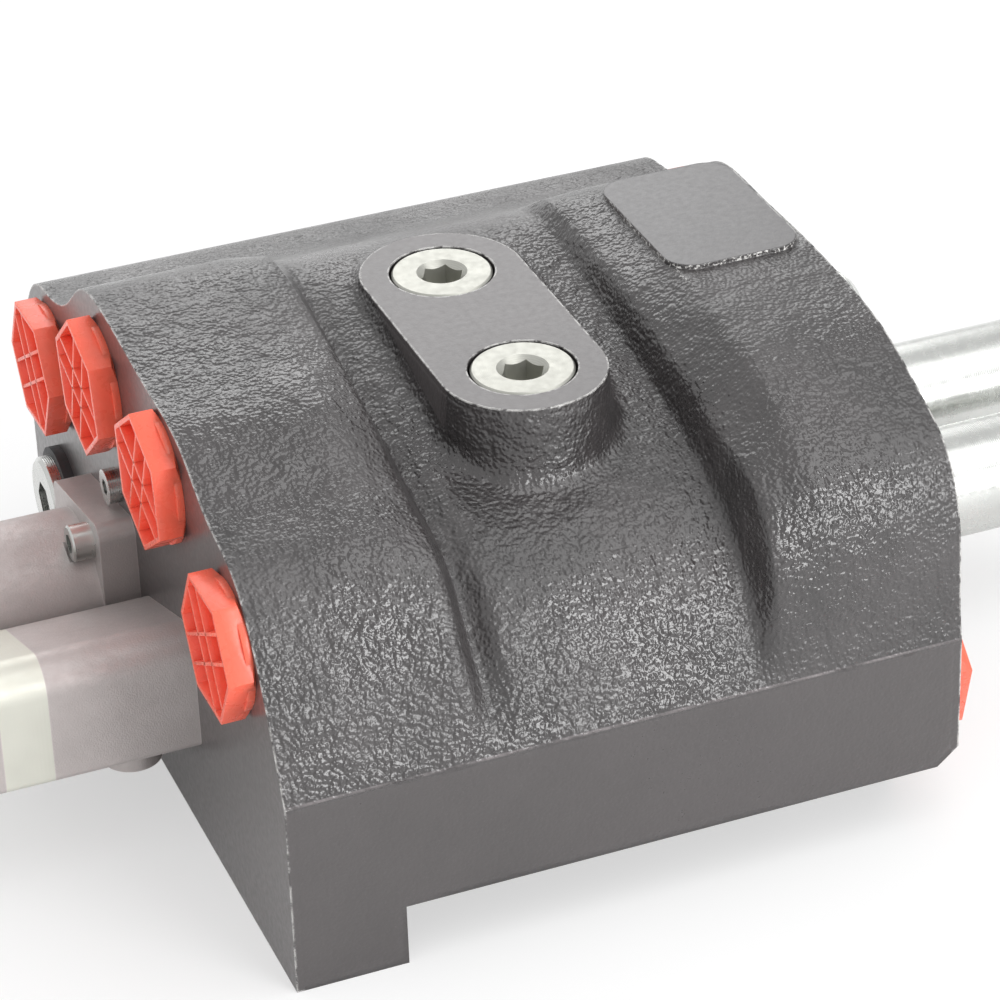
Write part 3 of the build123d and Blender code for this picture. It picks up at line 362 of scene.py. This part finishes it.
def painted_casting(casting):
    """Semi-gloss paint over a sand-cast skin, thinner and smoother on the machined faces."""
    made = Finish("painted_casting")
    x, y, z = made.place()
    normal = made.node("ShaderNodeNewGeometry").outputs["True Normal"]
    facing = made.node("ShaderNodeSeparateXYZ", Vector=normal).outputs
    reach = made.math("ABSOLUTE", x)
    front = made.ramp(y, *FRONT_FACE)

    # Machined faces, and the smooth strip along the front
    end_face = made.ramp(made.math("ABSOLUTE", facing[0]), *SQUARE)
    level = made.ramp(facing[2], *SQUARE)
    boss_top = made.every(level, made.ramp(z, *BOSS_TOP), made.ramp(reach, *BOSS_TOP_ENDS))
    pad = made.every(level, made.ramp(z, *PAD_TOP), made.ramp(x, *PAD_TOP_LEFT))
    strip = made.every(made.ramp(z, casting.strip_top, casting.strip_top - STRIP_FADE), front)
    even = made.either(end_face, boss_top, pad, made.every(strip, STRIP_SMOOTHNESS))

    # Edges that stay crisp
    near_end = made.ramp(reach, casting.end_reach - END_RIM[0], casting.end_reach - END_RIM[1])
    near_boss = made.every(made.ramp(z, *BOSS_RIM), made.ramp(reach, *BOSS_RIM_ENDS))
    near_pad = made.every(made.ramp(z, *PAD_RIM), made.ramp(x, *PAD_RIM_LEFT))
    crisp = made.either(near_end, near_boss, near_pad)

    # Colour: blotched paint on the skin, thinner paint on the machined faces
    blotch = made.ramp(made.noise(0.03, detail=4.0, roughness=0.6), 0.32, 0.68)
    tone = made.mix(blotch, shade(casting.paint, 0.62), shade(casting.paint, 1.35))
    speck = made.ramp(made.noise(casting.grain * 0.45, detail=2.0), 0.64, 0.76, end=0.8)
    tone = made.mix(speck, tone, shade(casting.paint, 3.2))
    satin = made.mix(made.noise(0.05, detail=4.0), shade(casting.face_paint, 0.8),
                     shade(casting.face_paint, 1.25))
    fleck = made.ramp(made.noise(0.0006, detail=2.0), 0.66, 0.78, end=0.5)
    satin = made.mix(fleck, satin, shade(casting.face_paint, 2.4))
    colour = made.mix(even, tone, satin)
    pad_tone = made.mix(made.noise(0.012, detail=5.0), shade(casting.pad_paint, 0.86),
                        shade(casting.pad_paint, 1.12))
    colour = made.mix(pad, colour, pad_tone)

    # Chipped edges, the flaked rim of the pad, and a painted highlight along the ledge over the strip
    chips = made.ramp(made.noise(0.0035, detail=4.0, roughness=0.7), 0.42, 0.54)
    chipped = made.every(made.edges(casting.edge), made.either(near_end, near_boss), chips)
    flakes = made.ramp(made.noise(0.0011, detail=3.0, roughness=0.7), 0.52, 0.60)
    flaked = made.every(made.ramp(z, *PAD_EDGE), made.ramp(x, *PAD_EDGE_LEFT), flakes,
                        made.ramp(level, 0.0, 1.0, start=1.0, end=0.0))
    colour = made.mix(made.either(chipped, flaked), colour, tuple(casting.chip))
    # Painted highlight: a pale line along the strip's top edge stands in for the light caught by the ledge
    # there
    away = made.math("ABSOLUTE", made.math("SUBTRACT", z, casting.strip_top))
    ridge_highlight = made.every(made.ramp(away, *RIDGE_HIGHLIGHT), front,
                      made.ramp(made.noise(0.012), 0.4, 0.6, start=0.25))
    colour = made.mix(ridge_highlight, colour, shade(casting.paint, 4.5))

    # Shine and relief
    shine = made.ramp(made.noise(0.045), 0.36, 0.62)
    rough_skin = made.ramp(shine, 0.0, 1.0, start=0.42, end=0.19)
    even_skin = made.ramp(made.noise(0.0018), 0.3, 0.7, start=0.30, end=0.42)
    roughness = made.blend(even, rough_skin, even_skin)
    pebbles = made.math("MULTIPLY", made.cells(casting.grain), -0.75)
    sand = made.noise(casting.grain * 2.2, detail=2.0, roughness=0.5)
    swell = made.math("MULTIPLY", made.noise(casting.grain * 9, detail=2.0), 2.4)
    skin = made.math("ADD", made.math("ADD", pebbles, sand), swell)
    relief = made.blend(even, skin, made.math("MULTIPLY", made.noise(0.0007, detail=2.0), 0.06))
    made.shader.inputs["IOR"].default_value = 1.68
    made.shader.inputs["Coat Weight"].default_value = 0.3
    made.shader.inputs["Coat Roughness"].default_value = 0.2
    radius = made.blend(crisp, casting.rounding, casting.crisp)
    soft = made.node("ShaderNodeBevel", {"samples": 8}, Radius=radius).outputs["Normal"]
    grained = made.bump(relief, casting.depth, normal=soft)
    made.feed(made.shader.inputs["Coat Normal"], grained)
    return made.finish(colour, roughness, normal=grained)


def moulded_red(plug):
    """Slightly clear red plastic with faint flow marks."""
    made = Finish("moulded_red")
    colour = made.mix(made.noise(0.012), shade(plug.colour, 0.9), shade(plug.colour, 1.1))
    roughness = made.ramp(made.noise(0.004), 0.3, 0.7, start=0.22, end=0.34)
    made.shader.inputs["Subsurface Weight"].default_value = 0.25
    made.shader.inputs["Subsurface Radius"].default_value = (0.003, 0.0008, 0.0005)
    made.shader.inputs["Subsurface Scale"].default_value = 1.0
    flow = made.bump(made.noise(0.0012, detail=2.0), 0.00008, strength=0.5)
    return made.finish(colour, roughness, normal=flow)


def turned_plug(metal, ring=0.00045, cut=0.000012):
    """Turned and plated screw plugs with fine rings about their own axes."""
    made = Finish("turned_plug")
    x, y = made.place()[:2]
    low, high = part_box("load_check_plugs")
    radius = (high[0] - low[0]) / 2
    across = made.math("MULTIPLY", x, x)
    reach = []
    for centre in (low[1] + radius, high[1] - radius):
        along = made.math("SUBTRACT", y, centre)
        reach.append(made.math("SQRT", made.math("ADD", across, made.math("MULTIPLY", along, along))))
    rings = made.math("SINE", made.math("MULTIPLY", made.math("MINIMUM", *reach), 2 * math.pi / ring))
    colour = made.mix(made.noise(0.006, detail=4.0), shade(metal.screw_plug, 0.88),
                      shade(metal.screw_plug, 1.08))
    roughness = made.ramp(made.noise(0.002), 0.3, 0.7, start=0.30, end=0.46)
    return made.finish(colour, roughness, metallic=0.85, normal=made.bump(rings, cut, strength=0.6))


def plated_steel(name, colour, ring=0.0006, low=0.18, high=0.32, metallic=1.0, cut=0.000012):
    """Plated or ground steel with fine turning lines along X."""
    made = Finish(name)
    lines = made.math("SINE", made.math("MULTIPLY", made.place()[0], 2 * math.pi / ring))
    wander = made.math("MULTIPLY", made.noise(0.004), 2.0)
    tone = made.mix(made.noise(0.012, detail=4.0), shade(colour, 0.86), shade(colour, 1.08))
    roughness = made.ramp(made.noise(0.003, detail=4.0), 0.3, 0.7, start=low, end=high)
    grooves = made.bump(made.math("ADD", lines, wander), cut, strength=0.6)
    return made.finish(tone, roughness, metallic=metallic, normal=grooves)


def blasted_aluminium(metal):
    """Bead-blasted cast aluminium with a fine matt grain."""
    made = Finish("blasted_aluminium")
    tone = made.mix(made.noise(0.015, detail=5.0), shade(metal.aluminium, 0.85),
                    shade(metal.aluminium, 1.15))
    worn = made.ramp(made.edges(0.0006), 0.0, 1.0, end=0.5)
    tone = made.mix(worn, tone, shade(metal.aluminium, 1.5))
    roughness = made.ramp(made.noise(0.002), 0.3, 0.7, start=0.42, end=0.6)
    grain = made.bump(made.noise(0.0005, detail=2.0), 0.00012, strength=0.8)
    return made.finish(tone, roughness, metallic=0.6, normal=grain)


def seal_rubber(metal):
    """Black rubber with a dull bloom."""
    made = Finish("seal_rubber")
    tone = made.mix(made.noise(0.003), shade(metal.rubber, 0.8), shade(metal.rubber, 1.6))
    roughness = made.ramp(made.noise(0.002), 0.3, 0.7, start=0.5, end=0.7)
    grain = made.bump(made.noise(0.0004, detail=2.0), 0.00005, strength=0.5)
    return made.finish(tone, roughness, normal=grain)


def dress(node, material):
    """Give a CAD node its finish."""
    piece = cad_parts[node]
    piece.data.materials.clear()
    piece.data.materials.append(material)


def metal_kind(node):
    """Which of the metal and rubber finishes a CAD node has."""
    if node == "load_check_plugs":
        return "turned_plug"
    if node in RUBBER:
        return "rubber"
    if "spring" in node and "washer" not in node:
        return "spring"
    if "nut" in node:
        return "zinc"
    if node in ALUMINIUM or "piston_" in node:
        return "aluminium"
    if node == "spacer_plate":
        return "passivated"
    if node.endswith("screws") or "bolt" in node:
        return "screw"
    if node.startswith(("cap_", "relief_")) or node in ("rear_bore_plug", "gauge_plug"):
        return "zinc"
    return "steel"


class VALVE_OT_casting(bpy.types.Operator):
    """Paint the cast valve block"""

    bl_idname = "valve.casting"
    bl_label = "Paint the casting"

    def execute(self, context):
        dress("valve_body", painted_casting(context.scene.valve_casting))
        return {"FINISHED"}


class VALVE_OT_metal_pieces(bpy.types.Operator):
    """Finish the plated, turned and blasted metal pieces and the seals"""

    bl_idname = "valve.metal_pieces"
    bl_label = "Finish the metal pieces"

    def execute(self, context):
        metal = context.scene.valve_metal
        finishes = {
            "turned_plug": turned_plug(metal),
            "zinc": plated_steel("bright_zinc", tuple(metal.zinc)),
            "passivated": plated_steel("passivated_plate", tuple(metal.passivated), ring=0.0011,
                                       low=0.38, high=0.55, metallic=0.6, cut=0.000005),
            "screw": plated_steel("screw_zinc", shade(metal.zinc, 0.9), ring=0.0005, low=0.24, high=0.40),
            "steel": plated_steel("ground_steel", tuple(metal.steel), ring=0.0003, low=0.16, high=0.28),
            "spring": plated_steel("spring_wire", shade(metal.steel, 0.6), ring=0.0013, low=0.30, high=0.45),
            "aluminium": blasted_aluminium(metal),
            "rubber": seal_rubber(metal),
        }
        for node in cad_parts:
            if node != "valve_body" and not node.startswith("port_plug"):
                dress(node, finishes[metal_kind(node)])
        return {"FINISHED"}


class VALVE_OT_springs(bpy.types.Operator):
    """Put a copy of each spring in place of its CAD node, and find its fixed and pushed ends"""

    bl_idname = "valve.springs"
    bl_label = "Wind the springs"

    def execute(self, context):
        for node, moving, axis, side in SPRINGS:
            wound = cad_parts[node].copy()
            wound.name = "wound_" + node
            wound.data = wound.data.copy()
            wound.parent = None
            context.collection.objects.link(wound)
            low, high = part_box(node)
            middle = (low + high) / 2
            fixed, pushed = middle.copy(), middle.copy()
            fixed[axis] = low[axis] if side > 0 else high[axis]
            pushed[axis] = high[axis] if side > 0 else low[axis]
            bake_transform(wound)
            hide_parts(node)
        return {"FINISHED"}


def start_mesh(name):
    """Name the primitive that was just added."""
    piece = bpy.context.active_object
    piece.name = name
    piece.data.name = name
    return piece


def apply_place():
    """Put the selected pieces' place, turn and scale into their meshes."""
    bpy.ops.object.transform_apply(location=True, rotation=True, scale=True)


def pick_faces(piece, test):
    """Enter edit mode and select the faces whose normal passes a test."""
    bpy.ops.object.mode_set(mode="EDIT")
    bpy.ops.mesh.select_mode(type="FACE")
    sheet = bmesh.from_edit_mesh(piece.data)
    for face in sheet.faces:
        face.select_set(bool(test(face.normal)))
    sheet.select_flush_mode()
    bmesh.update_edit_mesh(piece.data)


def rib_bar(length, thickness, height, place, turned):
    """One rib of a plug's grid, narrower at its top as the mould leaves it."""
    bpy.ops.mesh.primitive_cube_add(size=1.0, location=place)
    bar = start_mesh("rib")
    bar.scale = (thickness, length, height) if turned else (length, thickness, height)
    apply_place()
    pick_faces(bar, lambda normal: normal.z > FACING)
    narrow = (RIB_DRAFT, 1.0, 1.0) if turned else (1.0, RIB_DRAFT, 1.0)
    bpy.ops.transform.resize(value=narrow, center_override=place)
    bpy.ops.object.mode_set(mode="OBJECT")
    return bar


def hexagon_head(shape):
    """The plug's hollow hexagon head, chamfered at the back."""
    corner = shape.flats / 2 / math.cos(HALF_CORNER)
    bpy.ops.object.select_all(action="DESELECT")
    bpy.ops.mesh.primitive_cylinder_add(vertices=6, radius=corner, depth=shape.head,
                                        location=(0, 0, shape.head / 2), rotation=(0, 0, HALF_CORNER))
    plug = start_mesh("port_plug")
    apply_place()
    bpy.ops.mesh.primitive_cone_add(vertices=96, radius1=corner - PLUG_CHAMFER,
                                    radius2=corner + PLUG_CHAMFER_SPREAD,
                                    depth=shape.head, location=(0, 0, shape.head / 2))
    cone = start_mesh("back_chamfer")
    trim = plug.modifiers.new("back_chamfer", "BOOLEAN")
    trim.operation = "INTERSECT"
    trim.object = cone
    bpy.ops.object.select_all(action="DESELECT")
    plug.select_set(True)
    bpy.context.view_layer.objects.active = plug
    bpy.ops.object.modifier_apply(modifier=trim.name)
    bpy.data.objects.remove(cone)
    pick_faces(plug, lambda normal: normal.z > FACING)
    bpy.ops.mesh.inset(thickness=shape.rim, depth=0)
    bpy.ops.mesh.extrude_region_move(TRANSFORM_OT_translate={"value": (0, 0, -shape.recess)})
    bpy.ops.object.mode_set(mode="OBJECT")
    return plug


def rib_grid(shape):
    """Two ribs each way across the hollow of the head."""
    inner = shape.flats / 2 - shape.rim
    inner_corner = inner / math.cos(HALF_CORNER)
    offset = shape.rib_spacing / 2
    bite = shape.rim * RIB_BITE
    height = shape.recess - 2 * RIB_DROP
    level = shape.head - RIB_DROP - height / 2
    corner_way = 2 * (inner_corner - offset * math.tan(HALF_CORNER)) + bite
    flat_way = 2 * inner + bite
    bars = []
    for side in (-1, 1):
        bars.append(rib_bar(corner_way, shape.rib, height, (0, side * offset, level), False))
        bars.append(rib_bar(flat_way, shape.rib, height, (side * offset, 0, level), True))
    return bars


def hollow_shank(shape):
    """The round shank in the port, open at its inner end."""
    bpy.ops.mesh.primitive_cylinder_add(vertices=64, radius=shape.shank_radius, depth=shape.shank,
                                        location=(0, 0, SHANK_BITE - shape.shank / 2))
    shank = start_mesh("shank")
    pick_faces(shank, lambda normal: normal.z < -FACING)
    bpy.ops.mesh.inset(thickness=SHANK_WALL, depth=0)
    bpy.ops.mesh.extrude_region_move(TRANSFORM_OT_translate={"value": (0, 0, shape.shank - SHANK_WALL)})
    bpy.ops.object.mode_set(mode="OBJECT")
    apply_place()
    return shank


def moulded_plug(shape):
    """One ribbed plug, its head standing along +Z on the plane z = 0 and a corner of it on +X."""
    plug = hexagon_head(shape)
    bars = rib_grid(shape)
    bpy.ops.mesh.primitive_cylinder_add(vertices=96, radius=shape.flange_radius, depth=shape.flange,
                                        location=(0, 0, shape.flange / 2))
    flange = start_mesh("flange")
    apply_place()
    shank = hollow_shank(shape)
    bpy.ops.object.select_all(action="DESELECT")
    for piece in [plug, flange, shank, *bars]:
        piece.select_set(True)
    bpy.context.view_layer.objects.active = plug
    bpy.ops.object.join()
    rounding = plug.modifiers.new("rounding", "BEVEL")
    rounding.width = shape.rounding
    rounding.segments = 2
    rounding.limit_method = "ANGLE"
    rounding.angle_limit = BEVEL_ANGLE
    bpy.ops.object.modifier_apply(modifier=rounding.name)
    bpy.ops.object.shade_smooth_by_angle(angle=SMOOTH_ANGLE)
    return plug


class VALVE_OT_port_plugs(bpy.types.Operator):
    """Mould one ribbed plug and put a copy in each port"""

    bl_idname = "valve.port_plugs"
    bl_label = "Mould the port plugs"

    def execute(self, context):
        shape = context.scene.valve_plug
        first = moulded_plug(shape)
        first.data.materials.append(moulded_red(shape))
        for node in LEFT_PORTS + RIGHT_PORTS:
            low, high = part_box(node)
            side = -1 if node in LEFT_PORTS else 1
            face = low[0] + shape.head if side < 0 else high[0] - shape.head
            turn = math.radians(PLUG_TURNS[node])
            across = Vector((0, math.cos(turn), math.sin(turn)))
            out = Vector((side, 0, 0))
            up = out.cross(across)
            centre = Vector((face, (low[1] + high[1]) / 2, (low[2] + high[2]) / 2))
            spot = Matrix((across, up, out)).transposed().to_4x4()
            copy = bpy.data.objects.new("moulded_" + node.removeprefix("port_"), first.data.copy())
            context.collection.objects.link(copy)
            copy.data.transform(Matrix.Translation(centre) @ spot)
            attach(copy, BLOCK)
            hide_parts(node)
        bpy.data.objects.remove(first)
        return {"FINISHED"}


def pale_surface(name, colour):
    """Matt pale surface that looks partly white to the camera and in mirrors."""
    made = Finish(name)
    seen = made.node("ShaderNodeLightPath").outputs
    white = made.node("ShaderNodeEmission", Color=WHITE, Strength=1.0)
    matt = made.node("ShaderNodeBsdfDiffuse", Color=(*colour, 1.0))
    share = made.either(made.every(seen["Is Camera Ray"], CAMERA_WHITE),
                        made.every(seen["Is Glossy Ray"], MIRROR_WHITE))
    made.show(share, matt.outputs[0], white.outputs[0], "Material Output")
    return made.material


def pale_room(world, strength):
    """White room, seen white by the camera and shaded from left to right in mirrors."""
    world.use_nodes = True
    made = Wiring(world.node_tree, "Generated")
    ground = made.tree.nodes["Background"]
    ground.inputs["Color"].default_value = WHITE
    ground.inputs["Strength"].default_value = strength
    white = made.node("ShaderNodeBackground", Strength=1.0)
    seen = made.node("ShaderNodeLightPath").outputs
    side = made.ramp(made.place()[0], -0.6, 0.7, start=0.45, end=1.0)
    share = made.either(seen["Is Camera Ray"], made.every(side, seen["Is Glossy Ray"]))
    made.show(share, ground.outputs[0], white.outputs[0], "World Output")


class VALVE_OT_stage(bpy.types.Operator):
    """Lay the pale floor, hang the lamps and set the camera"""

    bl_idname = "valve.stage"
    bl_label = "Set the stage"

    def execute(self, context):
        light = context.scene.valve_light
        bpy.ops.object.select_all(action="DESELECT")
        bpy.ops.mesh.primitive_plane_add(size=FLOOR_SIZE, location=(0, 0, CAD_BOX[0][2]))
        floor = start_mesh("floor")
        bpy.ops.object.mode_set(mode="EDIT")
        bpy.ops.mesh.subdivide(number_cuts=light.floor_cuts)
        bpy.ops.object.mode_set(mode="OBJECT")
        apply_place()
        floor.data.materials.append(pale_surface("pale_floor", FLOOR_COLOUR))

        context.scene.world = bpy.data.worlds.new("pale_room")
        pale_room(context.scene.world, light.room)

        for name, power, size, place in LAMPS:
            bpy.ops.object.light_add(type="AREA", location=place)
            lamp = bpy.context.active_object
            lamp.name = name
            lamp.data.energy = getattr(light, power)
            lamp.data.size = size
            lamp.rotation_euler = (LAMP_TARGET - place).to_track_quat("-Z", "Y").to_euler()

        bpy.ops.object.camera_add(location=CAMERA_PLACE)
        camera = bpy.context.active_object
        camera.name = "photo_camera"
        back = CAMERA_RIGHT.cross(CAMERA_UP)
        camera.rotation_euler = Matrix((CAMERA_RIGHT, CAMERA_UP, back)).transposed().to_euler()
        camera.data.lens = light.lens
        camera.data.sensor_width = SENSOR_WIDTH
        camera.data.clip_start = CLIP_START
        context.scene.camera = camera
        context.scene.view_settings.view_transform = "Standard"
        return {"FINISHED"}


class VALVE_PT_panel(bpy.types.Panel):
    """Sizes, colours and steps of the valve"""

    bl_idname = "VALVE_PT_panel"
    bl_label = "Control valve"
    bl_space_type = "VIEW_3D"
    bl_region_type = "UI"
    bl_category = "Valve"

    def draw(self, context):
        for group in GROUPS:
            values = getattr(context.scene, group)
            box = self.layout.box()
            for key in values.__annotations__:
                box.prop(values, key)
        for step in STEPS:
            self.layout.operator(step.bl_idname)


GROUPS = {
    "valve_casting": CastingFinish, "valve_plug": PlugShape, "valve_metal": MetalFinish,
    "valve_light": StageLight,
}
STEPS = (VALVE_OT_stage, VALVE_OT_casting, VALVE_OT_metal_pieces, VALVE_OT_springs, VALVE_OT_port_plugs)
CLASSES = (*GROUPS.values(), *STEPS, VALVE_PT_panel)


def register():
    for made in CLASSES:
        bpy.utils.register_class(made)
    for group, kind in GROUPS.items():
        setattr(bpy.types.Scene, group, PointerProperty(type=kind))


def unregister():
    for group in GROUPS:
        delattr(bpy.types.Scene, group)
    for made in reversed(CLASSES):
        bpy.utils.unregister_class(made)


def main():
    register()
    bpy.ops.valve.stage()
    bpy.ops.valve.casting()
    bpy.ops.valve.metal_pieces()
    bpy.ops.valve.springs()
    bpy.ops.valve.port_plugs()


if __name__ == "__main__":
    main()
